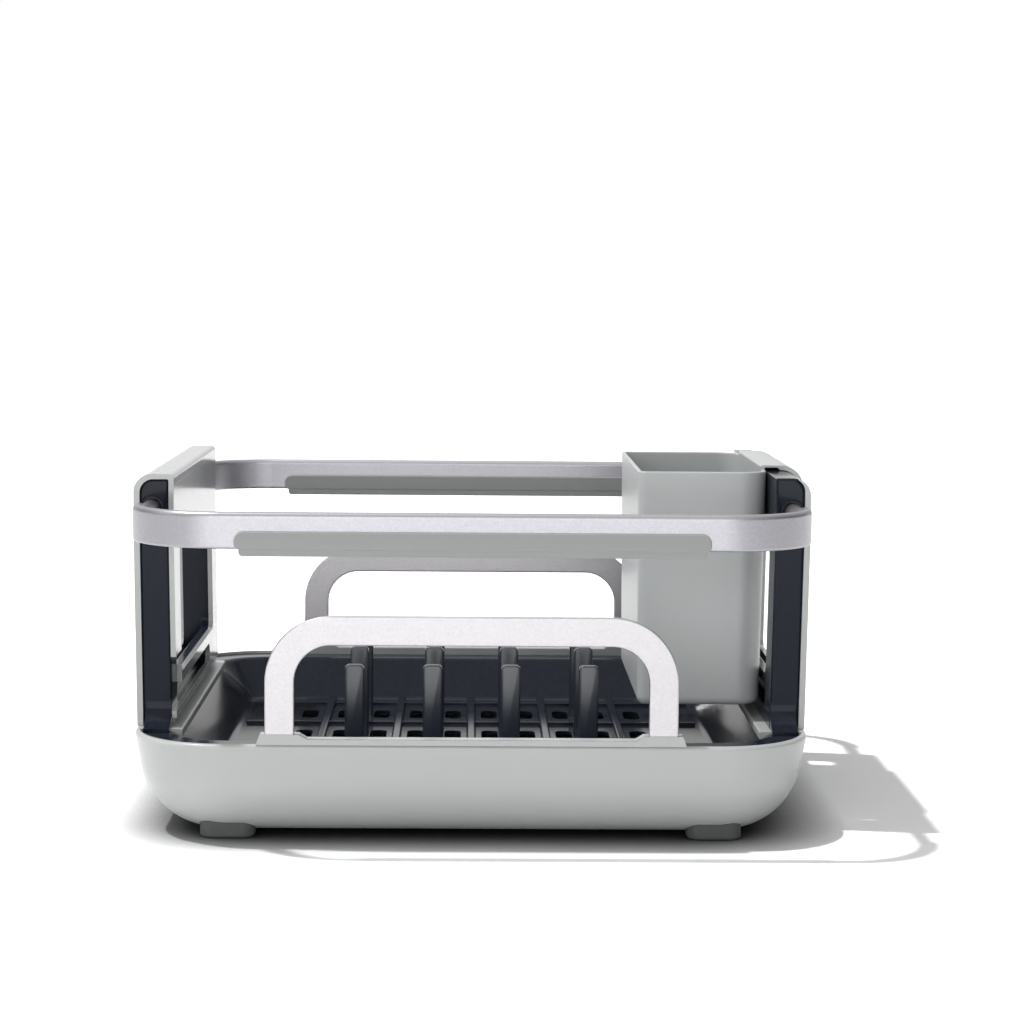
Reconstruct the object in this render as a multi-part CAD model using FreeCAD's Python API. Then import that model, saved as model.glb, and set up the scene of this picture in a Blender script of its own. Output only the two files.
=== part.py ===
import FreeCAD, Part
import math
import os

# Over-sink dish rack, in millimetres. +Z is up, -Y is the front, and the origin is the centre of the
# footprint, on the surface that the feet stand on.

V = FreeCAD.Vector
UP = V(0, 0, 1)
ORIGIN = V(0, 0, 0)

# Fits
SNUG = 0.3              # gap between pieces that lift or slide past each other
RUNNING_FIT = 0.05      # radial clearance of a rod in its bush

# Overall sizes, which the pieces follow
TUB_WIDTH = 355.4
TUB_DEPTH = 326.4
RIM_Z = 53.0
BEAM_TOP = 186.8

# Base tub
TUB_CORNER = 51.0
TUB_WALL = 3.0
RIM_ROUND = 2.0
TUB_LEAN_DEGREES = 9.8  # lean of the wall
KNEE_RADIUS = 40.0      # curve from the wall into the underside
BELLY_DEGREES = 14.8    # slope of the underside where the curve ends
BELLY_RUN = 0.9         # straight stretch of that slope
BELLY_DROP = 50.1       # from the rim down to the flat underside
BOTTOM_OPENING_INSET = 66.0
BOTTOM_OPENING_CORNER = 20.0
CORE_OVERLAP = 1.0      # how far flat middles reach into the swept corners
TRAY_LEDGE_WIDTH = 3.4  # small ledge all round inside the rim, under the tray's flange
TRAY_LEDGE_HEIGHT = 2.5
TRAY_LEDGE_DROP = 3.5
SIDE_LEDGE_WIDTH = 25.5
SIDE_LEDGE_REACH = 7.6  # how far a ledge runs on past its frame's ends
SIDE_LEDGE_THICK = 4.0
SIDE_LEDGE_ROUND = 1.2
LEG_PAD_HEIGHT = 8.0
LEG_PAD_HALF = 10.0

# Feet
FOOT_SIZE = 28.5
FOOT_ROUND = 7.0
FOOT_EDGE = 1.5
FOOT_INSET_X = 50.7     # centre of a foot from the rim
FOOT_INSET_Y = 34.9
FOOT_BLANK = 20.0       # height before the tub's underside is cut away

# Inner tray
TRAY_SHEET = 2.2
TRAY_GAP = 0.4          # between the tray's edge and the tub's wall
TRAY_FLANGE = 17.0
TRAY_SLOPE = 21.0       # how far the tray's wall comes in on its way down
TRAY_DEPTH = 24.0       # from the rim down to the tray's floor
TRAY_BEND = 5.0
RIDGE_WIDTH = 5.0
RIDGE_HEIGHT = 2.4
RIDGE_MARGIN = 4.0
RIDGE_ROUND = 1.2
CROSS_RIB_WIDTH = 3.0
CROSS_RIB_HEIGHT = 1.8
CROSS_RIB_ROUND = 0.8
DRAIN_WIDTH = 9.3
DRAIN_LENGTH = 27.0
DRAIN_ROUND = 4.2

# Plate tines
TINE_PITCH_X = 42.7
TINE_PITCH_Y = 66.8
TINES_PER_ROW = 4
TINE_WIDTH = 10.6
TINE_THICK = 4.4
TINE_HEIGHT = 51.0
TINE_CROWN = 4.6
TINE_EDGE = 0.8

# Side frames
FRAME_OVERHANG = 0.6    # how far a frame's outer face lies outside the rim
FRAME_SETBACK = 52.8    # from the rim at the front and the rear to a frame's end
FRAME_LEAN = 1.4        # how far the legs lean in on the way down to the rim
LEAN_DROP = 36.8        # the lean starts this far below the beam's top
BEAM_HEIGHT = 38.8
BEAM_ROUND = 9.5
LEG_WIDTH = 26.0
SKIN = 3.2
SKIN_TAPER = 2.4        # how much tighter the core's outer corner is than the skin's
SKIN_TIP = 6.7          # the right skin's edge on the beam's top, from the outer face
CORE_DEPTH = 15.2
CORE_RECESS = 0.8       # the core's ends lie this far inside the skin's edge
CORE_EDGE = 0.8
CORE_END_ROUND = 1.6    # round between a core's ends and its sides
WINDOW_ROUND = 6.0
SILL_HEIGHT = 16.2      # skin's window sill above the rim
SILL_WALL = 3.5         # core's inner wall beside the trough behind the skin
SILL_BAR = 5.8          # height of that wall, and of the left cover's bar, above the slot
TROUGH_RISE = 5.0       # trough's floor above the rim
FLARE = 13.0            # reach and height of the curve at a leg's foot
FLARE_BASE = 0.9
SLOT_RISE = 8.0         # slot's lower edge above the rim
SLOT_HEIGHT = 11.5
SLOT_FRONT_INSET = 26.4     # from a frame's ends to the slot's ends
SLOT_REAR_INSET = 48.4
SLOT_DEPTH = 2.0        # how deep the slot goes into the dark core
COVER = 2.7             # light wall over the left core's inner side and top
COVER_RISE = 4.5        # cover's lower edge above the rim
COVER_EDGE = 2.5
COVER_SPLIT = 3.0       # the inner cover ends this far below the core's top
COVER_FOOT = 37.0       # the front leg is bare from the slot up to this height above the rim

# Rails, rods and grips
RAIL_INSET = 2.9        # from a frame's outer face to the rail's
RAIL_OVERHANG = 17.0    # how far a closed rail's face lies outside the rim
RAIL_DROP = 13.1        # from the beam's top to the rail's
RAIL_HEIGHT = 18.5
RAIL_THICK = 6.0
RAIL_CORNER = 48.0
RAIL_TOP_EDGE = 2.6
RAIL_LOW_EDGE = 1.2
ROD_RADIUS = 4.5
ROD_INSET = 6.4         # rod's centre from the rail's outer face
ROD_DROP = 4.9          # rod's centre from the rail's top
ROD_INNER_END = 8.0     # a rod's inner end from the middle
ROD_TAIL = 17.0         # how far a rod runs along the rail's corner
BORE_RADIUS = 6.3
BUSH_LENGTH = 14.0
BUSH_SETBACK = 5.0
STOP_LENGTH = 4.0
GRIP_INSET = 55.9       # from the rail's outer face to the grip's end
GRIP_SIDE = 1.5         # thickness on the rail's faces
GRIP_DROP = 9.5         # from the rail's top to the grip's
GRIP_BELOW = 0.2        # thickness under the rail
GRIP_LIP = 3.4          # height of the lip
GRIP_LIP_INSET = 4.0
GRIP_LIP_SETBACK = 0.8
GRIP_ROUND = 5.0
GRIP_EDGE = 1.0

# Hoops and their bases
HOOP_INSET = 72.1       # from the rim at the side to the hoop
HOOP_HEIGHT = 66.2
HOOP_BAR = 15.0
HOOP_THICK = 4.0
HOOP_SETBACK = 0.4
HOOP_CORNER = 34.0
HOOP_EDGE = 0.8
HOOP_BASE_HEIGHT = 3.0
HOOP_BASE_WIDTH = 8.0
SHOE_WIDTH = 24.0
SHOE_HEIGHT = 5.4
SHOE_TAPER = 2.0
SHOE_EDGE = 0.8

# Utensil caddy
CADDY_WIDTH = 70.4
CADDY_DEPTH = 155.0
CADDY_RISE = 0.6        # caddy's top above the beam's
CADDY_FLOAT = 6.7       # caddy's bottom above the rim
CADDY_WALL = 2.2
CADDY_DRAFT = 2.0
CADDY_TIGHT_CORNER = 4.5
CADDY_WIDE_CORNER = 14.0
CADDY_FLOOR_ROUND = 4.0
CADDY_RIM_ROUND = 0.8
SADDLE_LENGTH = 116.0
SADDLE_THICK = 2.6
SADDLE_ROOT = 3.0       # how far the saddle reaches down the caddy's wall
SADDLE_HOLLOW = 1.4     # raised underside beside the caddy's wall
SADDLE_HOLLOW_WIDTH = 7.0
LIP_THICK = 2.2
LIP_DROP = 14.8         # from the beam's top to the lip's lower edge
LIP_EDGE = 0.8
SADDLE_EDGE = 1.2

# Screws
LEG_SCREW_RADIUS = 2.0
LEG_SCREW_LENGTH = 28.0
SCREW_HEAD_RADIUS = 3.8
SCREW_HEAD_HEIGHT = 2.6
SOCKET_RADIUS = 1.5
SOCKET_DEPTH = 1.4

# Worked out from the sizes above
RIM_HALF_X = TUB_WIDTH / 2
RIM_HALF_Y = TUB_DEPTH / 2
TUB_LEAN = math.radians(TUB_LEAN_DEGREES)
BELLY_SLOPE = math.radians(BELLY_DEGREES)
KNEE_TURN = math.pi / 2 - TUB_LEAN - BELLY_SLOPE
BELLY_LINE = KNEE_RADIUS * math.tan(KNEE_TURN / 2) + BELLY_RUN
KNEE_DROP = BELLY_DROP - BELLY_LINE * math.sin(BELLY_SLOPE)
KNEE_INSET = KNEE_DROP * math.tan(TUB_LEAN)
BELLY_INSET = KNEE_INSET + BELLY_LINE * math.cos(BELLY_SLOPE)
SIDE_LEDGE_INNER = RIM_HALF_X - SIDE_LEDGE_WIDTH
TRAY_LEDGE_Z = RIM_Z - TRAY_LEDGE_DROP
TRAY_FLOOR_Z = RIM_Z - TRAY_DEPTH
TINE_TOP = TRAY_FLOOR_Z + TINE_HEIGHT
FLANGE_TOP = TRAY_LEDGE_Z + TRAY_SHEET
TRAY_EDGE = TUB_WALL / math.cos(TUB_LEAN) + TRAY_LEDGE_DROP * math.tan(TUB_LEAN) + TRAY_GAP
TRAY_FLOOR_INSET = TRAY_EDGE + TRAY_FLANGE + TRAY_SLOPE
FRAME_HALF = RIM_HALF_X + FRAME_OVERHANG
FRAME_END = RIM_HALF_Y - FRAME_SETBACK
SIDE_LEDGE_HALF = FRAME_END + SIDE_LEDGE_REACH
BEAM_BOTTOM = BEAM_TOP - BEAM_HEIGHT
LEAN_START_Z = BEAM_TOP - LEAN_DROP
SILL_Z = RIM_Z + SILL_HEIGHT
SLOT_BOTTOM = RIM_Z + SLOT_RISE
SILL_WALL_Z = SLOT_BOTTOM + SLOT_HEIGHT + SILL_BAR
CORE_END = FRAME_END - CORE_RECESS
CORE_OUTER = FRAME_HALF - SKIN
CORE_INNER = CORE_OUTER - CORE_DEPTH
LEG_MIDDLE = FRAME_END - LEG_WIDTH / 2
WINDOW_HALF = FRAME_END - LEG_WIDTH
SLOT_FRONT = SLOT_FRONT_INSET - FRAME_END
SLOT_REAR = FRAME_END - SLOT_REAR_INSET
BUSH_FACE = CORE_END - BUSH_SETBACK
RAIL_REACH = RIM_HALF_Y + RAIL_OVERHANG
RAIL_TOP = BEAM_TOP - RAIL_DROP
RAIL_BOTTOM = RAIL_TOP - RAIL_HEIGHT
RAIL_HALF = FRAME_HALF - RAIL_INSET
RAIL_BEND_Y = RAIL_REACH - RAIL_CORNER
ROD_X = RAIL_HALF - ROD_INSET
ROD_Z = RAIL_TOP - ROD_DROP
GRIP_HALF = RAIL_HALF - GRIP_INSET
GRIP_TOP = RAIL_TOP - GRIP_DROP
GRIP_RIDGE = RAIL_BOTTOM - GRIP_BELOW
GRIP_BOTTOM = GRIP_RIDGE - GRIP_LIP
HOOP_HALF = RIM_HALF_X - HOOP_INSET
HOOP_TOP = RIM_Z + HOOP_HEIGHT
HOOP_BASE_TOP = RIM_Z + HOOP_BASE_HEIGHT
SHOE_TOP = RIM_Z + SHOE_HEIGHT
CADDY_OUTER_X = CORE_INNER - SNUG
CADDY_INNER_X = CADDY_OUTER_X - CADDY_WIDTH
CADDY_TOP = BEAM_TOP + CADDY_RISE
CADDY_BOTTOM = RIM_Z + CADDY_FLOAT
ROWS = (-1, 0, 1)


def polygon_wire(corners, place):
    """Closed wire through (u, v, radius) corners; place maps (u, v) to a point in space."""
    flat = [V(u, v, 0) for u, v, radius in corners]
    radii = [radius for u, v, radius in corners]
    stops = []
    for index, corner in enumerate(flat):
        before = (flat[index - 1] - corner).normalize()
        after = (flat[(index + 1) % len(flat)] - corner).normalize()
        radius = radii[index]
        if radius <= 0:
            stops.append((corner, None, corner))
            continue
        half = before.getAngle(after) / 2
        reach = radius / math.tan(half)
        bisector = (before + after).normalize()
        middle = corner + bisector * (radius / math.sin(half) - radius)
        stops.append((corner + before * reach, middle, corner + after * reach))
    edges = []
    for index, (start, middle, end) in enumerate(stops):
        if middle is not None:
            edges.append(Part.Arc(place(start), place(middle), place(end)).toShape())
        following = stops[(index + 1) % len(stops)][0]
        if end.distanceToPoint(following) > 1e-6:
            edges.append(Part.LineSegment(place(end), place(following)).toShape())
    return Part.Wire(edges)


def face_xz(corners, y):
    return Part.Face(polygon_wire(corners, lambda p: V(p.x, y, p.y)))


def face_yz(corners, x):
    return Part.Face(polygon_wire(corners, lambda p: V(x, p.x, p.y)))


def face_xy(corners, z):
    return Part.Face(polygon_wire(corners, lambda p: V(p.x, p.y, z)))


def box(x0, x1, y0, y1, z0, z1):
    return Part.makeBox(x1 - x0, y1 - y0, z1 - z0, V(x0, y0, z0))


def rounded_rectangle(half_x, half_y, radius):
    return [(-half_x, -half_y, radius), (half_x, -half_y, radius),
            (half_x, half_y, radius), (-half_x, half_y, radius)]


def slab(half_x, half_y, radius, z0, z1):
    return face_xy(rounded_rectangle(half_x, half_y, radius), z0).extrude(UP * (z1 - z0))


def rod_y(radius, x, z, y0, y1):
    return Part.makeCylinder(radius, y1 - y0, V(x, y0, z), V(0, 1, 0))


def rod_z(radius, x, y, z0, z1):
    return Part.makeCylinder(radius, z1 - z0, V(x, y, z0), UP)


def mirror_x(shape):
    return shape.mirror(ORIGIN, V(1, 0, 0))


def mirror_y(shape):
    return shape.mirror(ORIGIN, V(0, 1, 0))


def joined(shapes):
    whole = shapes[0].multiFuse(shapes[1:]) if len(shapes) > 1 else shapes[0]
    return whole.removeSplitter()


def edges_where(shape, test):
    return [edge for edge in shape.Edges if test(edge.BoundBox)]


def ring(section, half_x, half_y, corner):
    """Sweep an (inset, z, radius) section round a rounded rectangle."""
    flat_x = half_x - corner
    flat_y = half_y - corner
    front = face_yz([(-half_y + inset, z, r) for inset, z, r in section], -flat_x)
    side = face_xz([(half_x - inset, z, r) for inset, z, r in section], -flat_y)
    pieces = [front.extrude(V(2 * flat_x, 0, 0)), side.extrude(V(0, 2 * flat_y, 0))]
    pieces += [mirror_y(pieces[0]), mirror_x(pieces[1])]
    bend = side.revolve(V(flat_x, -flat_y, 0), UP, -90)
    pieces += [bend, mirror_x(bend), mirror_y(bend), mirror_x(mirror_y(bend))]
    return joined(pieces)


def tub_section(offset):
    """Outer line of the tub's wall, moved inwards by offset, from the rim to the flat bottom."""
    knee_shift = offset / math.cos(KNEE_TURN / 2)
    knee_angle = BELLY_SLOPE + KNEE_TURN / 2
    bottom = RIM_Z - BELLY_DROP + offset
    return [(offset / math.cos(TUB_LEAN), RIM_Z, 0.0),
            (KNEE_INSET + knee_shift * math.sin(knee_angle),
             RIM_Z - KNEE_DROP + knee_shift * math.cos(knee_angle), KNEE_RADIUS - offset),
            (BELLY_INSET + offset * math.tan(BELLY_SLOPE / 2), bottom, 0.0),
            (TUB_CORNER - CORE_OVERLAP, bottom, 0.0)]


def flat_middle(z0, z1):
    """Flat slab that fills the middle of a swept ring."""
    inset = TUB_CORNER - CORE_OVERLAP
    half_x = RIM_HALF_X - inset
    half_y = RIM_HALF_Y - inset
    return box(-half_x, half_x, -half_y, half_y, z0, z1)


def tub_block(offset):
    """The tub as a closed solid, with its outside moved inwards by offset."""
    corners = tub_section(offset) + [(TUB_CORNER - CORE_OVERLAP, RIM_Z, 0.0)]
    core = flat_middle(RIM_Z - BELLY_DROP + offset, RIM_Z)
    return joined([ring(corners, RIM_HALF_X, RIM_HALF_Y, TUB_CORNER), core])


def bottom_plate():
    bottom = RIM_Z - BELLY_DROP
    half_x = RIM_HALF_X - BOTTOM_OPENING_INSET
    half_y = RIM_HALF_Y - BOTTOM_OPENING_INSET
    opening = slab(half_x, half_y, BOTTOM_OPENING_CORNER, bottom - TUB_WALL, bottom + 2 * TUB_WALL)
    return flat_middle(bottom, bottom + TUB_WALL).cut(opening)


def side_ledges():
    """Wide ledges that carry the side frames, with a pad for each leg's screw."""
    bottom = RIM_Z - SIDE_LEDGE_THICK
    shelf = box(SIDE_LEDGE_INNER, RIM_HALF_X, -SIDE_LEDGE_HALF, SIDE_LEDGE_HALF, bottom, RIM_Z)
    inner_edge = edges_where(shelf, lambda b: b.XMax < SIDE_LEDGE_INNER + 1e-6 and b.ZMin > RIM_Z - 1e-6)
    shelf = shelf.makeFillet(SIDE_LEDGE_ROUND, inner_edge)
    pads = [box(CORE_INNER, RIM_HALF_X, y - LEG_PAD_HALF, y + LEG_PAD_HALF, bottom - LEG_PAD_HEIGHT, bottom)
            for y in (-LEG_MIDDLE, LEG_MIDDLE)]
    right = joined([shelf] + pads).common(tub_block((RIM_ROUND + TUB_WALL) / 2))
    return [right, mirror_x(right)]


def base_tub():
    outer = tub_section(0.0)
    inner = tub_section(TUB_WALL)
    outer[0] = (0.0, RIM_Z, RIM_ROUND)
    shell = ring(outer + list(reversed(inner)), RIM_HALF_X, RIM_HALF_Y, TUB_CORNER)
    ledge = [(TUB_WALL / 2, TRAY_LEDGE_Z, 0), (TUB_WALL + TRAY_LEDGE_WIDTH, TRAY_LEDGE_Z, 0),
             (TUB_WALL + TRAY_LEDGE_WIDTH, TRAY_LEDGE_Z - TRAY_LEDGE_HEIGHT, 0),
             (TUB_WALL, TRAY_LEDGE_Z - 2 * TRAY_LEDGE_HEIGHT, 0)]
    tub = joined([shell, ring(ledge, RIM_HALF_X, RIM_HALF_Y, TUB_CORNER), bottom_plate()] + side_ledges())
    return tub.cut(leg_screws())


def foot(sign_x, sign_y):
    """Soft pad that fits the curve of the tub's underside."""
    half = FOOT_SIZE / 2
    pad = slab(half, half, FOOT_ROUND, 0.0, FOOT_BLANK)
    pad = pad.makeFillet(FOOT_EDGE, edges_where(pad, lambda b: b.ZMax < 1e-6))
    pad.translate(V(RIM_HALF_X - FOOT_INSET_X, RIM_HALF_Y - FOOT_INSET_Y, 0))
    pad = pad.cut(tub_block(0.0))
    lowest = min(pad.Solids, key=lambda solid: solid.BoundBox.ZMin)
    lowest = mirror_x(lowest) if sign_x < 0 else lowest
    return mirror_y(lowest) if sign_y < 0 else lowest


def drain_holes():
    holes = []
    for row in ROWS:
        for ridge in range(-2, 3):
            for side in (-1, 1):
                hole = slab(DRAIN_WIDTH / 2, DRAIN_LENGTH / 2, DRAIN_ROUND,
                            TRAY_FLOOR_Z - 2 * TRAY_SHEET, TRAY_FLOOR_Z + RIDGE_HEIGHT)
                hole.translate(V((ridge + side / 4) * TINE_PITCH_X, row * TINE_PITCH_Y, 0))
                holes.append(hole)
    return holes


def floor_ribs():
    """Low ridges along Y and cross ribs along X, which keep plates off the tray's floor."""
    half_x = RIM_HALF_X - TRAY_FLOOR_INSET - RIDGE_MARGIN
    half_y = RIM_HALF_Y - TRAY_FLOOR_INSET - RIDGE_MARGIN
    bottom = TRAY_FLOOR_Z - TRAY_SHEET / 2
    ribs = []
    for ridge in range(-2, 3):
        x = ridge * TINE_PITCH_X
        half = RIDGE_WIDTH / 2
        top = TRAY_FLOOR_Z + RIDGE_HEIGHT
        profile = face_xz([(x - half, bottom, 0), (x + half, bottom, 0), (x + half, top, RIDGE_ROUND),
                           (x - half, top, RIDGE_ROUND)], -half_y)
        ribs.append(profile.extrude(V(0, 2 * half_y, 0)))
    for row in (-1.5, -0.5, 0.5, 1.5):
        y = row * TINE_PITCH_Y
        half = CROSS_RIB_WIDTH / 2
        top = TRAY_FLOOR_Z + CROSS_RIB_HEIGHT
        profile = face_yz([(y - half, bottom, 0), (y + half, bottom, 0), (y + half, top, CROSS_RIB_ROUND),
                           (y - half, top, CROSS_RIB_ROUND)], -half_x)
        ribs.append(profile.extrude(V(2 * half_x, 0, 0)))
    return ribs


def inner_tray():
    bend = TRAY_EDGE + TRAY_FLANGE
    slope = math.atan2(FLANGE_TOP - TRAY_FLOOR_Z, TRAY_SLOPE)
    shift = TRAY_SHEET * math.tan(slope / 2)
    section = [(TRAY_EDGE, FLANGE_TOP, 0), (bend, FLANGE_TOP, TRAY_BEND),
               (TRAY_FLOOR_INSET, TRAY_FLOOR_Z, TRAY_BEND), (TUB_CORNER - CORE_OVERLAP, TRAY_FLOOR_Z, 0),
               (TUB_CORNER - CORE_OVERLAP, TRAY_FLOOR_Z - TRAY_SHEET, 0),
               (TRAY_FLOOR_INSET - shift, TRAY_FLOOR_Z - TRAY_SHEET, TRAY_BEND + TRAY_SHEET),
               (bend - shift, TRAY_LEDGE_Z, TRAY_BEND - TRAY_SHEET), (TRAY_EDGE, TRAY_LEDGE_Z, 0)]
    wall = ring(section, RIM_HALF_X, RIM_HALF_Y, TUB_CORNER)
    floor = flat_middle(TRAY_FLOOR_Z - TRAY_SHEET, TRAY_FLOOR_Z)
    tray = joined([wall, floor] + floor_ribs())
    reach = SIDE_LEDGE_HALF + SNUG
    under_ledge = RIM_Z - SIDE_LEDGE_THICK - SNUG
    notch = box(SIDE_LEDGE_INNER - SNUG, RIM_HALF_X, -reach, reach, under_ledge, RIM_Z + SNUG)
    return tray.cut(drain_holes() + [notch, mirror_x(notch)])


def plate_tines(row):
    """One row of upright tines, standing on the tray's floor."""
    first = -(TINES_PER_ROW - 1) / 2
    half = TINE_WIDTH / 2
    tines = []
    for index in range(TINES_PER_ROW):
        x = (first + index) * TINE_PITCH_X
        outline = [(x - half, TRAY_FLOOR_Z, 0), (x + half, TRAY_FLOOR_Z, 0),
                   (x + half, TINE_TOP, TINE_CROWN), (x - half, TINE_TOP, TINE_CROWN)]
        tine = face_xz(outline, row * TINE_PITCH_Y - TINE_THICK / 2).extrude(V(0, TINE_THICK, 0))
        outer_edges = edges_where(tine, lambda b: b.YLength < 1e-6 and b.ZMax > TRAY_FLOOR_Z + 1.0)
        tines.append(tine.makeFillet(TINE_EDGE, outer_edges))
    return Part.makeCompound(tines)


def frame_section(inner, outer, top, inner_round, outer_round):
    """Section of a frame from the rim to the beam's top, leaning in below LEAN_START_Z."""
    corners = [(inner - FRAME_LEAN, RIM_Z, 0), (inner, LEAN_START_Z, 0), (inner, top, inner_round),
               (outer, top, outer_round), (outer, LEAN_START_Z, 0), (outer - FRAME_LEAN, RIM_Z, 0)]
    return face_xz(corners, 0.0)


def section_part(x0, x1, z0, z1):
    """Part of the section plane, for trimming a frame section."""
    return face_xz([(x0, z0, 0), (x1, z0, 0), (x1, z1, 0), (x0, z1, 0)], 0.0)


def along_y(face, half):
    solid = face.extrude(V(0, 2 * half, 0))
    solid.translate(V(0, -half, 0))
    return solid


def window(bottom, top, front, rear, radius):
    """Cutter through a right-hand frame along X."""
    corners = [(front, bottom, radius), (rear, bottom, radius), (rear, top, radius), (front, top, radius)]
    depth = 3 * (FRAME_HALF - CORE_INNER)
    return face_yz(corners, CORE_INNER - depth / 3).extrude(V(depth, 0, 0))


def main_window(sill):
    return window(sill, BEAM_BOTTOM, -WINDOW_HALF, WINDOW_HALF, WINDOW_ROUND)


def side_slot(front, depth):
    """Long slot under the window, cut from the frame's inner side to a depth."""
    slot = window(SLOT_BOTTOM, SLOT_BOTTOM + SLOT_HEIGHT, front, SLOT_REAR, SLOT_HEIGHT / 2 - CORE_EDGE)
    return slot.common(box(0, CORE_INNER + depth, -2 * FRAME_END, FRAME_END, 0, BEAM_TOP))


def flare(sign_y):
    """Curved foot at the outer side of a leg, with a toe on the tray's flange beyond the ledge."""
    base = RIM_Z + FLARE_BASE
    inside = CORE_END - FLARE
    tip = CORE_END + FLARE
    toe = SIDE_LEDGE_HALF + SNUG
    corners = [(inside, RIM_Z, 0), (toe, RIM_Z, 0), (toe, FLANGE_TOP, 0), (tip, FLANGE_TOP, 0),
               (tip, base, 0), (CORE_END, base, FLARE - CORE_EDGE), (CORE_END, base + FLARE, 0),
               (inside, base + FLARE, 0)]
    top_lean = FRAME_LEAN * (LEAN_START_Z - base - FLARE) / (LEAN_START_Z - RIM_Z)
    profile = face_yz([(sign_y * y, z, r) for y, z, r in corners], CORE_INNER - top_lean)
    return profile.extrude(V(CORE_DEPTH - TUB_WALL / 2, 0, 0))


def frame_core(section):
    """Dark loop of a right-hand frame: legs, sill with a trough behind the skin, and bored beam."""
    block = along_y(section, CORE_END)
    end_edges = edges_where(block, lambda b: b.YLength < 1e-6 and b.ZMax > RIM_Z + FLARE
                            and b.XMin < CORE_OUTER - FRAME_LEAN - CORE_EDGE)
    core = joined([block.makeFillet(CORE_END_ROUND, end_edges), flare(1), flare(-1)])
    bore = rod_y(BORE_RADIUS, ROD_X, ROD_Z, -FRAME_END, FRAME_END)
    trough = box(CORE_INNER + SILL_WALL, FRAME_HALF, -WINDOW_HALF, WINDOW_HALF,
                 RIM_Z + TROUGH_RISE, SILL_WALL_Z + WINDOW_ROUND)
    cuts = [main_window(SILL_WALL_Z), trough, bore, side_slot(SLOT_FRONT, SLOT_DEPTH), leg_screws()]
    return core.cut(cuts)


def right_shell_section():
    outer = frame_section(CORE_INNER, FRAME_HALF, BEAM_TOP, CORE_EDGE, BEAM_ROUND)
    core = frame_section(CORE_INNER, CORE_OUTER, BEAM_TOP, CORE_EDGE, BEAM_ROUND - SKIN_TAPER)
    beyond_tip = section_part(FRAME_HALF - SKIN_TIP, FRAME_HALF, RIM_Z, BEAM_TOP)
    return outer, outer.cut(core).common(beyond_tip)


def right_frame_skin():
    outer, skin = right_shell_section()
    return along_y(skin, FRAME_END).cut(main_window(SILL_Z))


def right_frame_core():
    outer, skin = right_shell_section()
    return frame_core(outer.cut(skin))


def left_sections():
    """Core, skin and inner cover of the left frame, drawn on the right."""
    outer = frame_section(CORE_INNER - COVER, FRAME_HALF, BEAM_TOP, COVER_EDGE, BEAM_ROUND)
    core = frame_section(CORE_INNER, CORE_OUTER, BEAM_TOP - COVER, CORE_EDGE, BEAM_ROUND - SKIN_TAPER)
    shell = outer.cut(core)
    split_z = BEAM_TOP - COVER - COVER_SPLIT
    cover_zone = section_part(0.0, (CORE_INNER + CORE_OUTER) / 2, RIM_Z, split_z)
    return core, shell.cut(cover_zone), shell.common(cover_zone)


def left_frame_core():
    core, skin, cover = left_sections()
    return mirror_x(frame_core(core))


def left_frame_skin():
    core, skin, cover = left_sections()
    return mirror_x(along_y(skin, FRAME_END).cut(main_window(SILL_Z)))


def left_inner_cover():
    """Light wall on the left frame's inner side, open over the front leg's lower part."""
    core, skin, cover = left_sections()
    wall = along_y(cover, FRAME_END)
    below = box(0, FRAME_HALF, -FRAME_END, FRAME_END, RIM_Z, RIM_Z + COVER_RISE)
    bare_leg = box(0, FRAME_HALF, -FRAME_END, SLOT_FRONT, SLOT_BOTTOM, RIM_Z + COVER_FOOT)
    through_slot = side_slot(-FRAME_END, COVER)
    return mirror_x(wall.cut([main_window(SILL_WALL_Z), through_slot, below, bare_leg]))


def guide_bush(sign_x, sign_y):
    bush = rod_y(BORE_RADIUS, ROD_X, ROD_Z, BUSH_FACE - BUSH_LENGTH, BUSH_FACE)
    bush = bush.cut(rod_y(ROD_RADIUS + RUNNING_FIT, ROD_X, ROD_Z, 0.0, FRAME_END))
    bush = bush.common(box(0, CORE_OUTER, 0, FRAME_END, 0, BEAM_TOP))
    bush = mirror_x(bush) if sign_x < 0 else bush
    return mirror_y(bush) if sign_y < 0 else bush


def leg_screws():
    """Four screws that hold the legs to the tub's side ledges."""
    x = (CORE_INNER + CORE_OUTER) / 2 - FRAME_LEAN
    base = RIM_Z - SIDE_LEDGE_THICK - LEG_PAD_HEIGHT
    head_base = base - SCREW_HEAD_HEIGHT
    screws = []
    for sign_x in (-1, 1):
        for sign_y in (-1, 1):
            place = (sign_x * x, sign_y * LEG_MIDDLE)
            shank = rod_z(LEG_SCREW_RADIUS, *place, base, base + LEG_SCREW_LENGTH)
            head = rod_z(SCREW_HEAD_RADIUS, *place, head_base, base)
            socket = rod_z(SOCKET_RADIUS, *place, head_base, head_base + SOCKET_DEPTH)
            screws.append(joined([shank, head]).cut(socket))
    return Part.makeCompound(screws)


def rear_rail():
    """Flat bar along the rear that bends towards the frames at both ends."""
    flat_x = RAIL_HALF - RAIL_CORNER
    section = [(0, RAIL_BOTTOM, RAIL_LOW_EDGE), (0, RAIL_TOP, RAIL_TOP_EDGE),
               (RAIL_THICK, RAIL_TOP, RAIL_TOP_EDGE), (RAIL_THICK, RAIL_BOTTOM, RAIL_LOW_EDGE)]
    middle = face_yz([(RAIL_REACH - inset, z, r) for inset, z, r in section], -flat_x)
    side = face_xz([(RAIL_HALF - inset, z, r) for inset, z, r in section], RAIL_BEND_Y)
    bend = side.revolve(V(flat_x, RAIL_BEND_Y, 0), UP, 90)
    return joined([middle.extrude(V(2 * flat_x, 0, 0)), bend, mirror_x(bend)])


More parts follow.
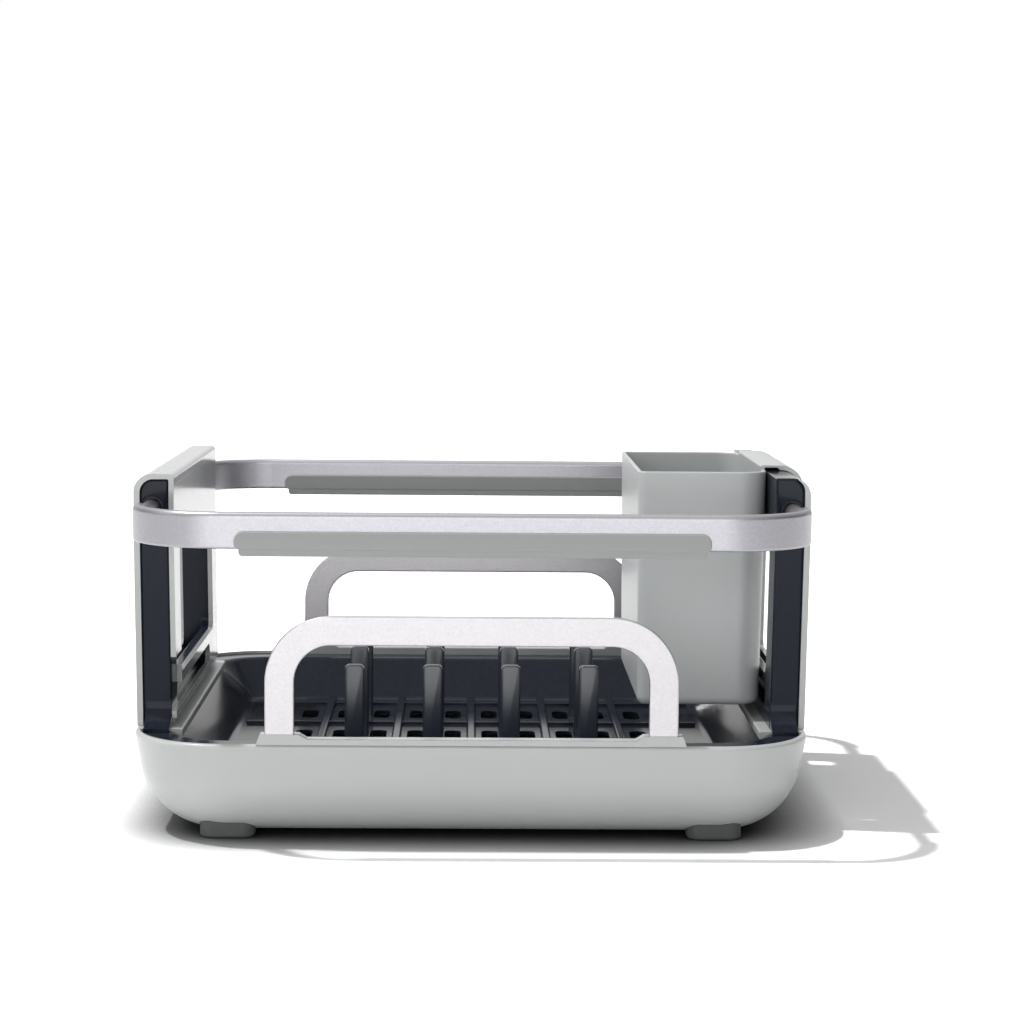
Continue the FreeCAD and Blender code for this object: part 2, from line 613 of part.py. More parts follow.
def rear_rod(sign_x):
    """Round rod that runs into the beam, coped against the inner side of the rail's corner."""
    rod = rod_y(ROD_RADIUS, ROD_X, ROD_Z, ROD_INNER_END, RAIL_BEND_Y + ROD_TAIL)
    rod = max(rod.cut(rear_rail()).Solids, key=lambda solid: solid.Volume)
    return mirror_x(rod) if sign_x < 0 else rod


def rear_rod_stop(sign_x):
    """Collar on the rod's inner end, too large to pass the bush."""
    stop = rod_y(BORE_RADIUS - SNUG, ROD_X, ROD_Z, ROD_INNER_END, ROD_INNER_END + STOP_LENGTH)
    stop = stop.cut(rod_y(ROD_RADIUS, ROD_X, ROD_Z, 0.0, FRAME_END))
    stop = stop.common(box(0, CORE_OUTER - SNUG, 0, FRAME_END, 0, BEAM_TOP))
    return mirror_x(stop) if sign_x < 0 else stop


def rear_grip():
    """Soft sleeve round the lower half of the rail, with a lip below it."""
    half = GRIP_HALF
    outer = RAIL_REACH + GRIP_SIDE
    inner = RAIL_REACH - RAIL_THICK - GRIP_SIDE
    sleeve = face_xz([(-half, GRIP_RIDGE, GRIP_EDGE), (half, GRIP_RIDGE, GRIP_EDGE),
                      (half, GRIP_TOP, GRIP_ROUND), (-half, GRIP_TOP, GRIP_ROUND)], inner)
    sleeve = sleeve.extrude(V(0, outer - inner, 0))
    lip_half = half - GRIP_LIP_INSET
    lip_top = GRIP_RIDGE + GRIP_EDGE
    lip = face_xz([(-lip_half, GRIP_BOTTOM, GRIP_EDGE), (lip_half, GRIP_BOTTOM, GRIP_EDGE),
                   (lip_half, lip_top, 0), (-lip_half, lip_top, 0)], inner + GRIP_LIP_SETBACK)
    lip = lip.extrude(V(0, outer - inner - 2 * GRIP_LIP_SETBACK, 0))
    groove = box(-RAIL_HALF, RAIL_HALF, RAIL_REACH - RAIL_THICK, RAIL_REACH, RAIL_BOTTOM, RAIL_TOP)
    return joined([sleeve, lip]).cut([groove, rear_rail()])


def rear_hoop():
    """Flat bar bent into an upside-down U."""
    y0 = RIM_HALF_Y - HOOP_THICK - HOOP_SETBACK
    inner_half = HOOP_HALF - HOOP_BAR
    inner_top = HOOP_TOP - HOOP_BAR
    inner_corner = HOOP_CORNER - HOOP_BAR
    outline = [(-HOOP_HALF, RIM_Z, 0), (-HOOP_HALF, HOOP_TOP, HOOP_CORNER),
               (HOOP_HALF, HOOP_TOP, HOOP_CORNER), (HOOP_HALF, RIM_Z, 0),
               (inner_half, RIM_Z, 0), (inner_half, inner_top, inner_corner),
               (-inner_half, inner_top, inner_corner), (-inner_half, RIM_Z, 0)]
    hoop = face_xz(outline, y0).extrude(V(0, HOOP_THICK, 0))
    long_edges = edges_where(hoop, lambda b: b.YLength < 1e-6 and b.ZMax > RIM_Z + 1.0)
    return hoop.makeFillet(HOOP_EDGE, long_edges)


def rear_hoop_base():
    """Light strip on the rim that carries the hoop, with a shoe at each leg."""
    shoe_out = HOOP_HALF + (SHOE_WIDTH - HOOP_BAR) / 2
    shoe_in = shoe_out - SHOE_WIDTH
    y0 = RIM_HALF_Y - HOOP_BASE_WIDTH
    outline = [(-shoe_out, RIM_Z, 0), (-shoe_out + SHOE_TAPER, SHOE_TOP, SHOE_EDGE),
               (-shoe_in - SHOE_TAPER, SHOE_TOP, SHOE_EDGE), (-shoe_in + SHOE_TAPER, HOOP_BASE_TOP, 0),
               (shoe_in - SHOE_TAPER, HOOP_BASE_TOP, 0), (shoe_in + SHOE_TAPER, SHOE_TOP, SHOE_EDGE),
               (shoe_out - SHOE_TAPER, SHOE_TOP, SHOE_EDGE), (shoe_out, RIM_Z, 0)]
    strip = face_xz(outline, y0).extrude(V(0, HOOP_BASE_WIDTH, 0))
    seat = box(-shoe_out, shoe_out, y0, RIM_HALF_Y - TRAY_EDGE, FLANGE_TOP, RIM_Z)
    return joined([strip, seat]).cut(rear_hoop())


def caddy_outline(offset, draft, z):
    x0 = CADDY_INNER_X + offset + draft / 2
    x1 = CADDY_OUTER_X - offset - draft
    half = CADDY_DEPTH / 2 - offset - draft
    tight = CADDY_TIGHT_CORNER - offset
    wide = CADDY_WIDE_CORNER - offset
    corners = [(x0, -half, tight), (x1, -half, wide), (x1, half, wide), (x0, half, tight)]
    return polygon_wire(corners, lambda p: V(p.x, p.y, z))


def caddy_block(offset, bottom):
    """Tapered block of the caddy, moved inwards by offset."""
    share = (CADDY_TOP - bottom) / (CADDY_TOP - CADDY_BOTTOM)
    wires = [caddy_outline(offset, CADDY_DRAFT * share, bottom), caddy_outline(offset, 0.0, CADDY_TOP)]
    block = Part.makeLoft(wires, True, True)
    floor_edges = edges_where(block, lambda b: b.ZMax < bottom + 1e-4)
    return block.makeFillet(CADDY_FLOOR_ROUND - offset, floor_edges)


def caddy_saddle():
    """Hook from the caddy's wall over the right beam, with a hollow beside the wall."""
    under = BEAM_TOP + SNUG
    top = under + SADDLE_THICK
    lip_in = FRAME_HALF + SNUG
    lip_out = lip_in + LIP_THICK
    lip_bottom = BEAM_TOP - LIP_DROP
    root = CADDY_TOP - SADDLE_ROOT
    wall_inner = CADDY_OUTER_X - CADDY_WALL
    bend = BEAM_ROUND + SNUG
    hollow_end = CADDY_OUTER_X + SADDLE_HOLLOW_WIDTH
    hollow_top = under + SADDLE_HOLLOW
    corners = [(wall_inner, root, 0), (wall_inner, top, SADDLE_EDGE), (lip_out, top, bend + LIP_THICK),
               (lip_out, lip_bottom, LIP_EDGE), (lip_in, lip_bottom, LIP_EDGE), (lip_in, under, bend),
               (hollow_end + SADDLE_HOLLOW, under, 0), (hollow_end, hollow_top, 0),
               (CADDY_OUTER_X, hollow_top, 0), (CADDY_OUTER_X, root, 0)]
    return along_y(face_xz(corners, 0.0), SADDLE_LENGTH / 2)


def utensil_caddy():
    cup = caddy_block(0.0, CADDY_BOTTOM).cut(caddy_block(CADDY_WALL, CADDY_BOTTOM + CADDY_WALL))
    cup = cup.makeFillet(CADDY_RIM_ROUND, edges_where(cup, lambda b: b.ZMin > CADDY_TOP - 1e-4))
    return joined([cup, caddy_saddle()])


def save(name, shape):
    shape.exportStep("parts/" + name + ".step")


def main():
    os.makedirs("parts", exist_ok=True)
    save("base_tub", base_tub())
    save("inner_tray", inner_tray())
    for row, label in zip(ROWS, ("front", "middle", "rear")):
        save("plate_tines_" + label, plate_tines(row))
    for sign_x, side in ((-1, "left"), (1, "right")):
        for sign_y, end in ((-1, "front"), (1, "rear")):
            save("foot_" + end + "_" + side, foot(sign_x, sign_y))
            save("guide_bush_" + end + "_" + side, guide_bush(sign_x, sign_y))
    save("left_frame_core", left_frame_core())
    save("right_frame_core", right_frame_core())
    save("left_frame_skin", left_frame_skin())
    save("right_frame_skin", right_frame_skin())
    save("left_inner_cover", left_inner_cover())
    save("leg_screws", leg_screws())
    rear_pieces = {"rail": rear_rail(), "grip": rear_grip(),
                   "rod_left": rear_rod(-1), "rod_right": rear_rod(1),
                   "rod_stop_left": rear_rod_stop(-1), "rod_stop_right": rear_rod_stop(1),
                   "hoop": rear_hoop(), "hoop_base": rear_hoop_base()}
    for name, shape in rear_pieces.items():
        save("rear_" + name, shape)
        save("front_" + name, mirror_y(shape))
    save("utensil_caddy", utensil_caddy())


main()
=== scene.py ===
import math

import bmesh
import bpy
from bpy.props import FloatProperty, FloatVectorProperty, IntProperty, PointerProperty
from mathutils import Matrix, Vector


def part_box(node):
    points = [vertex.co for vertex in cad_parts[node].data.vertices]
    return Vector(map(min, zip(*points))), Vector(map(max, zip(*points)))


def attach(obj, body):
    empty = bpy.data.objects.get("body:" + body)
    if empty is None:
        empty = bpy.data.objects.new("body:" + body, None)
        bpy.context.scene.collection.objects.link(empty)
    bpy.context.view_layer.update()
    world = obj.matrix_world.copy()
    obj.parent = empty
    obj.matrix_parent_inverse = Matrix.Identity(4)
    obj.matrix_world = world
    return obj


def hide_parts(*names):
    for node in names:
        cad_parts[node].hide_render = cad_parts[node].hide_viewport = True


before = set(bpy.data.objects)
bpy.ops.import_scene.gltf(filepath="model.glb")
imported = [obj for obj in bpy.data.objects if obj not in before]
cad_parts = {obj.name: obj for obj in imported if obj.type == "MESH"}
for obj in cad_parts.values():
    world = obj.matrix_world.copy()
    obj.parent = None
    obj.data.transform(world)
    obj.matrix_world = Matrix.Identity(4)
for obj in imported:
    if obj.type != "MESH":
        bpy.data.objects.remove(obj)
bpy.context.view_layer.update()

bl_info = {
    "name": "Over-Sink Dish Rack",
    "version": (1, 0, 0),
    "blender": (4, 5, 0),
    "location": "3D View > Sidebar > Dish Rack",
    "description": "Dresses the dish rack's frame with its finishes, soft pieces and studio",
    "category": "Object",
}

MM = 0.001
PICK_MARGIN = 0.1 * MM       # how near a place counts as being there when edges are picked
CUT_MARGIN = 1.0 * MM        # how far a cutting solid reaches past the piece
LIP_OVERLAP = 2.0            # how far a grip's lip reaches into its sleeve, in edge rounds
END_EDGE_SHARE = 0.9         # edges round a grip's ends against its long edges


def written(red, green, blue):
    """Colour as it is written on screen, 0 to 255, turned into the scene's linear colour."""
    def linear(value):
        share = value / 255.0
        return share / 12.92 if share <= 0.04045 else ((share + 0.055) / 1.055) ** 2.4
    return (linear(red), linear(green), linear(blue))


DUST_COLOUR = written(188, 188, 186)
BEARING_COLOUR = written(58, 60, 66)
SCREW_COLOUR = written(176, 176, 178)

DUST_CLOUD_SCALE = 30.0      # scale of the large patches in settled dust
DUST_LOWEST_TILT = -0.4      # height of a normal below which a face holds no dust
DUST_ROUGHENING = 0.3        # roughness that full dust adds
EDGE_CONTRAST = 4.0          # how quickly the mask turns white along a small edge
COARSE_SPECK = 0.35          # scale of the coarse metal specks against the fine ones
SPECK_GAIN = 2.2             # lifts the product of two noises back to about 0 to 1
GRAIN_DEPTH = 0.2 * MM
ROUGHNESS_SPREAD = 0.15      # share by which mottling changes a plastic's roughness
METAL_DARK_SPECK = 0.90      # shares of the metal's colour
METAL_BRIGHT_SPECK = 1.07
# painted highlight: share of the metal's colour along small edges
METAL_PAINTED_EDGE_HIGHLIGHT = 1.05
METAL_ROUGHNESS_SPREAD = 0.12
METAL_BUMP = 0.12
METAL_BUMP_DEPTH = 0.1 * MM

SUN_PLACE = (-0.80, 0.14, 2.0)
FRONT_BOX_PLACE = (-0.25, -1.9, 0.40)
FRONT_BOX_SIZE = (1.6, 0.9)
SIDE_BOX_PLACE = (-1.5, -0.4, 0.9)
SIDE_BOX_SIZE = (1.0, 1.0)
RACK_MIDDLE = (0.0, 0.0, 0.12)
FLOOR_SIZE = 60.0
FLOOR_PLACE = (0.0, 20.0, -0.2 * MM)
FLOOR_SEEN = 1.5             # grey of the floor where it shows
FLOOR_GIVEN = 0.92           # grey of the floor for the light that it gives the rack
FLOOR_ROUGHNESS = 0.9
# painted contact shadow: the floor's seen colour is painted darker where the rack comes near it
PAINTED_CONTACT_SHADOW_GREY = 0.02          # grey of the floor right under the rack
PAINTED_CONTACT_SHADOW_REACH = 40.0 * MM
PAINTED_CONTACT_SHADOW_POWER = 2.0
MIRRORED_STRENGTH = 0.95     # surroundings as they are mirrored, in front and behind
MIRRORED_SIDE_LOSS = 0.65    # less at both sides
MIRRORED_SIDE_POWER = 1.5
MIRRORED_RIGHT_LOSS = 0.2    # and a little less again at the right
MIRRORED_TOP_GAIN = 0.35
AMBIENT_RIGHT_LOSS = 0.55    # share by which the even light is weaker from the right


# Shared effects, as shader node groups

def add_node(tree, kind, **values):
    """New node with its settings."""
    node = tree.nodes.new(kind)
    for name, value in values.items():
        setattr(node, name, value)
    return node


def maths(tree, operation, first, second=0.0):
    """Output of a Math node whose inputs may be numbers or sockets."""
    node = add_node(tree, "ShaderNodeMath", operation=operation)
    for socket, value in zip(node.inputs, (first, second)):
        if isinstance(value, bpy.types.NodeSocket):
            tree.links.new(value, socket)
        else:
            socket.default_value = value
    return node.outputs[0]


def noise(tree, coordinates, scale, detail, roughness=0.5):
    """Noise whose scale may be a number or a socket."""
    node = add_node(tree, "ShaderNodeTexNoise")
    tree.links.new(coordinates, node.inputs["Vector"])
    if isinstance(scale, bpy.types.NodeSocket):
        tree.links.new(scale, node.inputs["Scale"])
    else:
        node.inputs["Scale"].default_value = scale
    node.inputs["Detail"].default_value = detail
    node.inputs["Roughness"].default_value = roughness
    return node.outputs["Fac"]


def new_group(name, inputs, outputs):
    """Node group with its sockets; returns the tree, its input node and its output node."""
    tree = bpy.data.node_groups.new(name, "ShaderNodeTree")
    for label, value in inputs:
        socket = tree.interface.new_socket(name=label, in_out="INPUT",
                                           socket_type="NodeSocketFloat")
        socket.default_value = value
    for label, kind in outputs:
        tree.interface.new_socket(name=label, in_out="OUTPUT", socket_type=kind)
    return tree, tree.nodes.new("NodeGroupInput"), tree.nodes.new("NodeGroupOutput")


def moulded_grain_group():
    """Fine tool texture and slow mottling of moulded plastic and rubber."""
    name = "Moulded Grain"
    if name in bpy.data.node_groups:
        return bpy.data.node_groups[name]
    tree, given, result = new_group(
        name, [("Grain Scale", 2600.0), ("Mottle Scale", 16.0)],
        [("Height", "NodeSocketFloat"), ("Mottle", "NodeSocketFloat")])
    place = add_node(tree, "ShaderNodeTexCoord").outputs["Object"]
    fine = noise(tree, place, given.outputs["Grain Scale"], 2.0)
    broad = noise(tree, place, given.outputs["Mottle Scale"], 4.0, 0.6)
    tree.links.new(fine, result.inputs["Height"])
    tree.links.new(broad, result.inputs["Mottle"])
    return tree


def soft_edge_group():
    """Rounded look of small edges, and a mask that is white along them."""
    name = "Soft Edges"
    if name in bpy.data.node_groups:
        return bpy.data.node_groups[name]
    tree, given, result = new_group(
        name, [("Radius", 0.6 * MM)],
        [("Normal", "NodeSocketVector"), ("Edge", "NodeSocketFloat")])
    bevel = add_node(tree, "ShaderNodeBevel", samples=6)
    tree.links.new(given.outputs["Radius"], bevel.inputs["Radius"])
    geometry = add_node(tree, "ShaderNodeNewGeometry")
    facing = add_node(tree, "ShaderNodeVectorMath", operation="DOT_PRODUCT")
    tree.links.new(bevel.outputs["Normal"], facing.inputs[0])
    tree.links.new(geometry.outputs["Normal"], facing.inputs[1])
    turned = maths(tree, "SUBTRACT", 1.0, facing.outputs["Value"])
    edge = add_node(tree, "ShaderNodeMath", operation="MULTIPLY", use_clamp=True)
    tree.links.new(turned, edge.inputs[0])
    edge.inputs[1].default_value = EDGE_CONTRAST
    tree.links.new(bevel.outputs["Normal"], result.inputs["Normal"])
    tree.links.new(edge.outputs[0], result.inputs["Edge"])
    return tree


def metal_speckle_group():
    """Fine bead-blasted speckle of anodised aluminium."""
    name = "Metal Speckle"
    if name in bpy.data.node_groups:
        return bpy.data.node_groups[name]
    tree, given, result = new_group(
        name, [("Speck Scale", 2200.0)],
        [("Height", "NodeSocketFloat"), ("Speck", "NodeSocketFloat")])
    place = add_node(tree, "ShaderNodeTexCoord").outputs["Object"]
    grain = noise(tree, place, given.outputs["Speck Scale"], 1.0)
    coarse_scale = maths(tree, "MULTIPLY", given.outputs["Speck Scale"], COARSE_SPECK)
    coarse = noise(tree, place, coarse_scale, 2.0)
    speck = maths(tree, "MULTIPLY", grain, coarse)
    lifted = add_node(tree, "ShaderNodeMath", operation="MULTIPLY", use_clamp=True)
    tree.links.new(speck, lifted.inputs[0])
    lifted.inputs[1].default_value = SPECK_GAIN
    tree.links.new(grain, result.inputs["Height"])
    tree.links.new(lifted.outputs[0], result.inputs["Speck"])
    return tree


def settled_dust_group():
    """Thin dust and dried water marks, more on faces that look up."""
    name = "Settled Dust"
    if name in bpy.data.node_groups:
        return bpy.data.node_groups[name]
    tree, given, result = new_group(
        name, [("Amount", 0.3), ("Spot Scale", 240.0)], [("Dust", "NodeSocketFloat")])
    place = add_node(tree, "ShaderNodeTexCoord").outputs["Object"]
    geometry = add_node(tree, "ShaderNodeNewGeometry")
    split = add_node(tree, "ShaderNodeSeparateXYZ")
    tree.links.new(geometry.outputs["Normal"], split.inputs[0])
    upward = add_node(tree, "ShaderNodeMapRange", clamp=True)
    tree.links.new(split.outputs["Z"], upward.inputs["Value"])
    upward.inputs["From Min"].default_value = DUST_LOWEST_TILT
    clouds = noise(tree, place, DUST_CLOUD_SCALE, 5.0, 0.65)
    spots = noise(tree, place, given.outputs["Spot Scale"], 3.0, 0.7)
    patchy = maths(tree, "MULTIPLY", clouds, spots)
    settled = maths(tree, "MULTIPLY", patchy, upward.outputs["Result"])
    amount = add_node(tree, "ShaderNodeMath", operation="MULTIPLY", use_clamp=True)
    tree.links.new(settled, amount.inputs[0])
    tree.links.new(given.outputs["Amount"], amount.inputs[1])
    tree.links.new(amount.outputs[0], result.inputs["Dust"])
    return tree


# Materials

def place_group(tree, group, **values):
    """Puts a shared group in a material, with the material's own values."""
    node = tree.nodes.new("ShaderNodeGroup")
    node.node_tree = group
    for name, value in values.items():
        node.inputs[name.replace("_", " ")].default_value = value
    return node


def blend_colour(tree, factor, first, second):
    """Mix node from a first colour to a second one, which may be a socket."""
    node = add_node(tree, "ShaderNodeMix", data_type="RGBA")
    tree.links.new(factor, node.inputs["Factor"])
    node.inputs["A"].default_value = (*first, 1.0)
    if isinstance(second, bpy.types.NodeSocket):
        tree.links.new(second, node.inputs["B"])
    else:
        node.inputs["B"].default_value = (*second, 1.0)
    return node


def spread(tree, factor, low, high):
    """Value from low to high as the factor goes from 0 to 1."""
    node = add_node(tree, "ShaderNodeMapRange")
    tree.links.new(factor, node.inputs["Value"])
    node.inputs["To Min"].default_value = low
    node.inputs["To Max"].default_value = high
    return node.outputs["Result"]


def scaled(colour, share):
    """Colour made lighter or darker by a share."""
    return tuple(min(1.0, channel * share) for channel in colour)


def start_material(name):
    """New material; returns it with its node tree and its shader."""
    material = bpy.data.materials.new(name)
    material.use_nodes = True
    tree = material.node_tree
    shader = tree.nodes["Principled BSDF"]
    return material, tree, shader


def moulded_material(name, colour, roughness, grain, edge, dust=0.25, edge_highlight_lift=1.08,
                     mottling=0.03, specular=0.5):
    """Injection-moulded plastic or rubber with grain, mottling, soft edges with a painted highlight
    along them, and a little dust.
    """
    material, tree, shader = start_material(name)
    surface = place_group(tree, moulded_grain_group())
    edges = place_group(tree, soft_edge_group(), Radius=edge)
    dusty = place_group(tree, settled_dust_group(), Amount=dust)
    mottled = blend_colour(tree, surface.outputs["Mottle"], scaled(colour, 1 - mottling),
                           scaled(colour, 1 + mottling))
    # painted highlight: the colour is lighter along small edges, where light would catch them
    painted_edge_highlight = blend_colour(tree, edges.outputs["Edge"], colour, scaled(colour, edge_highlight_lift))
    tree.links.new(mottled.outputs["Result"], painted_edge_highlight.inputs["A"])
    dusted = blend_colour(tree, dusty.outputs["Dust"], colour, DUST_COLOUR)
    tree.links.new(painted_edge_highlight.outputs["Result"], dusted.inputs["A"])
    tree.links.new(dusted.outputs["Result"], shader.inputs["Base Color"])
    rough = spread(tree, surface.outputs["Mottle"], roughness * (1 - ROUGHNESS_SPREAD),
                   roughness * (1 + ROUGHNESS_SPREAD))
    dust_rough = maths(tree, "MULTIPLY", dusty.outputs["Dust"], DUST_ROUGHENING)
    rougher = maths(tree, "ADD", rough, dust_rough)
    tree.links.new(rougher, shader.inputs["Roughness"])
    bump = add_node(tree, "ShaderNodeBump")
    bump.inputs["Strength"].default_value = grain
    bump.inputs["Distance"].default_value = GRAIN_DEPTH
    tree.links.new(surface.outputs["Height"], bump.inputs["Height"])
    tree.links.new(edges.outputs["Normal"], bump.inputs["Normal"])
    tree.links.new(bump.outputs["Normal"], shader.inputs["Normal"])
    shader.inputs["Specular IOR Level"].default_value = specular
    return material


def aluminium_material(name, colour, roughness, edge):
    """Bead-blasted, clear anodised aluminium, with a painted highlight along small edges."""
    material, tree, shader = start_material(name)
    specks = place_group(tree, metal_speckle_group())
    edges = place_group(tree, soft_edge_group(), Radius=edge)
    tinted = blend_colour(tree, specks.outputs["Speck"], scaled(colour, METAL_DARK_SPECK),
                          scaled(colour, METAL_BRIGHT_SPECK))
    # painted highlight: the metal is lighter along small edges
    painted_edge_glint = blend_colour(tree, edges.outputs["Edge"], colour, scaled(colour, METAL_PAINTED_EDGE_HIGHLIGHT))
    tree.links.new(tinted.outputs["Result"], painted_edge_glint.inputs["A"])
    tree.links.new(painted_edge_glint.outputs["Result"], shader.inputs["Base Color"])
    rough = spread(tree, specks.outputs["Speck"], roughness * (1 + METAL_ROUGHNESS_SPREAD),
                   roughness * (1 - METAL_ROUGHNESS_SPREAD))
    tree.links.new(rough, shader.inputs["Roughness"])
    bump = add_node(tree, "ShaderNodeBump")
    bump.inputs["Strength"].default_value = METAL_BUMP
    bump.inputs["Distance"].default_value = METAL_BUMP_DEPTH
    tree.links.new(specks.outputs["Height"], bump.inputs["Height"])
    tree.links.new(edges.outputs["Normal"], bump.inputs["Normal"])
    tree.links.new(bump.outputs["Normal"], shader.inputs["Normal"])
    shader.inputs["Metallic"].default_value = 1.0
    return material


def finish_for(slot_name):
    """Material of one of the record's slots, or of the tines, which take the dark plastic painted
    lighter as painted light; built when it is first asked for.
    """
    name = slot_name.replace("_", " ").capitalize()
    if name in bpy.data.materials:
        return bpy.data.materials[name]
    look = bpy.context.scene.rack_finishes
    if slot_name == "tub_plastic":
        return moulded_material(name, look.tub_colour, roughness=0.30, grain=0.08, edge=0.6 * MM)
    if slot_name == "frame_plastic":
        return moulded_material(name, look.frame_colour, look.shell_roughness, grain=0.04,
                                edge=0.2 * MM, specular=0.7)
    if slot_name == "caddy_plastic":
        return moulded_material(name, look.caddy_colour, roughness=0.36, grain=0.10,
                                edge=0.6 * MM)
    if slot_name == "dark_plastic":
        return moulded_material(name, look.dark_colour, look.dark_roughness, grain=0.02,
                                edge=0.7 * MM, dust=0.05, edge_highlight_lift=1.4, mottling=0.06,
                                specular=0.12)
    # painted light: the dark plastic, lighter and with a strong painted edge highlight, for the lit
    # faces of the tines
    if slot_name == "tine_plastic":
        return moulded_material(name, look.tine_colour, roughness=0.24, grain=0.02,
                                edge=0.7 * MM, dust=0.05, edge_highlight_lift=2.2, mottling=0.06,
                                specular=0.7)
    if slot_name == "grip_rubber":
        return moulded_material(name, look.grip_colour, roughness=0.62, grain=0.30,
                                edge=0.8 * MM, dust=0.35)
    if slot_name == "foot_rubber":
        return moulded_material(name, look.foot_colour, roughness=0.70, grain=0.35,
                                edge=0.8 * MM, dust=0.4)
    if slot_name == "bearing_plastic":
        return moulded_material(name, BEARING_COLOUR, roughness=0.5, grain=0.15, edge=0.4 * MM)
    if slot_name == "rail_aluminium":
        return aluminium_material(name, look.rail_colour, roughness=0.38, edge=0.6 * MM)
    if slot_name == "hoop_aluminium":
        return aluminium_material(name, look.hoop_colour, roughness=0.42, edge=0.6 * MM)
    if slot_name == "screw_steel":
        return aluminium_material(name, SCREW_COLOUR, roughness=0.30, edge=0.3 * MM)
    raise ValueError("no finish is written for the slot " + slot_name)


# Modelling helpers

def deselect_all():
    """Leaves edit mode and deselects every object."""
    if bpy.context.mode != "OBJECT":
        bpy.ops.object.mode_set(mode="OBJECT")
    bpy.ops.object.select_all(action="DESELECT")


def select_only(piece):
    """Leaves edit mode and makes the piece the only selected object."""
    deselect_all()
    piece.select_set(True)
    bpy.context.view_layer.objects.active = piece


def start_block(name, low, high):
    """Box from corner to corner, as the start of a piece, left in edit mode."""
    deselect_all()
    low, high = Vector(low), Vector(high)
    bpy.ops.mesh.primitive_cube_add(size=1.0, location=(low + high) / 2)
    piece = bpy.context.active_object
    piece.name = name
    piece.data.name = name
    piece.scale = high - low
    bpy.ops.object.transform_apply(location=True, rotation=True, scale=True)
    bpy.ops.object.mode_set(mode="EDIT")
    bpy.ops.mesh.select_all(action="DESELECT")
    return piece


def pick(piece, kind, test):
    """Selects the faces or edges in edit mode that pass the test, and no others."""
    mesh = bmesh.from_edit_mesh(piece.data)
    for part in (mesh.verts, mesh.edges, mesh.faces):
        for item in part:
            item.select_set(False)
    bpy.context.tool_settings.mesh_select_mode = (False, kind == "edges", kind == "faces")
    chosen = [item for item in getattr(mesh, kind) if test(item)]
    if not chosen:
        raise RuntimeError("nothing to select on " + piece.name)
    for item in chosen:
        item.select_set(True)
    mesh.select_flush_mode()
    bmesh.update_edit_mesh(piece.data)


def edge_along(edge, axis):
    """True where a straight edge runs along the axis: 0 for X, 1 for Y, 2 for Z."""
    line = (edge.verts[1].co - edge.verts[0].co).normalized()
    return abs(line[axis]) > 0.999


def edge_middle(edge):
    """Point half way along an edge."""
    return (edge.verts[0].co + edge.verts[1].co) / 2


def finish_piece(piece, body, slot_name, nodes=(), angle=35.0, finish=None):
    """Leaves edit mode, smooths the shading and gives the piece its body, slot and finish."""
    select_only(piece)
    bpy.ops.object.shade_smooth_by_angle(angle=math.radians(angle))
    piece.data.materials.clear()
    piece.data.materials.append(finish_for(finish or slot_name))
    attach(piece, body)
    if nodes:
        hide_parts(*nodes)


def combine(piece, tool, operation):
    """Joins a tool solid to a piece or cuts it out, and removes the tool."""
    modifier = piece.modifiers.new("Combine", "BOOLEAN")
    modifier.operation = operation
    modifier.solver = "EXACT"
    modifier.object = tool
    select_only(piece)
    bpy.ops.object.modifier_apply(modifier=modifier.name)
    bpy.data.objects.remove(tool, do_unlink=True)


def copy_piece(piece, name, change):
    """Copy with its own mesh, which the change moves or turns."""
    copy = piece.copy()
    copy.data = piece.data.copy()
    copy.name = name
    bpy.context.collection.objects.link(copy)
    copy.data.transform(change)
    return copy


def paint_node(node_name, slot_name):
    """Puts a slot's finish on a CAD node's own slots."""
    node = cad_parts[node_name]
    if not node.material_slots:
        raise RuntimeError("the node has no material slot: " + node_name)
    for material_slot in node.material_slots:
        material_slot.material = finish_for(slot_name)


# Sizes and colours that a user would change

class RackFinishes(bpy.types.PropertyGroup):
    """Colours and roughness of the rack's materials"""
    tub_colour: FloatVectorProperty(
        name="Tub", description="Colour of the base tub",
        subtype="COLOR", size=3, min=0.0, max=1.0, default=written(183, 186, 185))
    frame_colour: FloatVectorProperty(
        name="Frame Shells", description="Colour of the light shells on the frames",
        subtype="COLOR", size=3, min=0.0, max=1.0, default=written(172, 175, 173))
    caddy_colour: FloatVectorProperty(
        name="Caddy", description="Colour of the utensil caddy",
        subtype="COLOR", size=3, min=0.0, max=1.0, default=written(190, 193, 193))
    dark_colour: FloatVectorProperty(
        name="Dark Plastic", description="Colour of the tray and the frame cores",
        subtype="COLOR", size=3, min=0.0, max=1.0, default=written(24, 30, 42))
    # painted light: the tines' colour is the tray's dark plastic painted lighter, as the light on
    # their front faces
    tine_colour: FloatVectorProperty(
        name="Tines", description="Colour of the plate tines",
        subtype="COLOR", size=3, min=0.0, max=1.0, default=written(46, 52, 63))
    grip_colour: FloatVectorProperty(
        name="Grips", description="Colour of the rubber grips",
        subtype="COLOR", size=3, min=0.0, max=1.0, default=written(152, 155, 154))
    foot_colour: FloatVectorProperty(
        name="Feet", description="Colour of the rubber feet",
        subtype="COLOR", size=3, min=0.0, max=1.0, default=written(72, 75, 75))
    rail_colour: FloatVectorProperty(
        name="Rails", description="Colour of the rails and rods",
        subtype="COLOR", size=3, min=0.0, max=1.0, default=written(155, 154, 159))
    hoop_colour: FloatVectorProperty(
        name="Hoops", description="Colour of the hoops",
        subtype="COLOR", size=3, min=0.0, max=1.0, default=written(176, 174, 177))
    shell_roughness: FloatProperty(
        name="Shell Roughness", description="Roughness of the light shells",
        subtype="FACTOR", min=0.02, max=1.0, default=0.15)
    dark_roughness: FloatProperty(
        name="Dark Roughness", description="Roughness of the dark plastic",
        subtype="FACTOR", min=0.02, max=1.0, default=0.12)


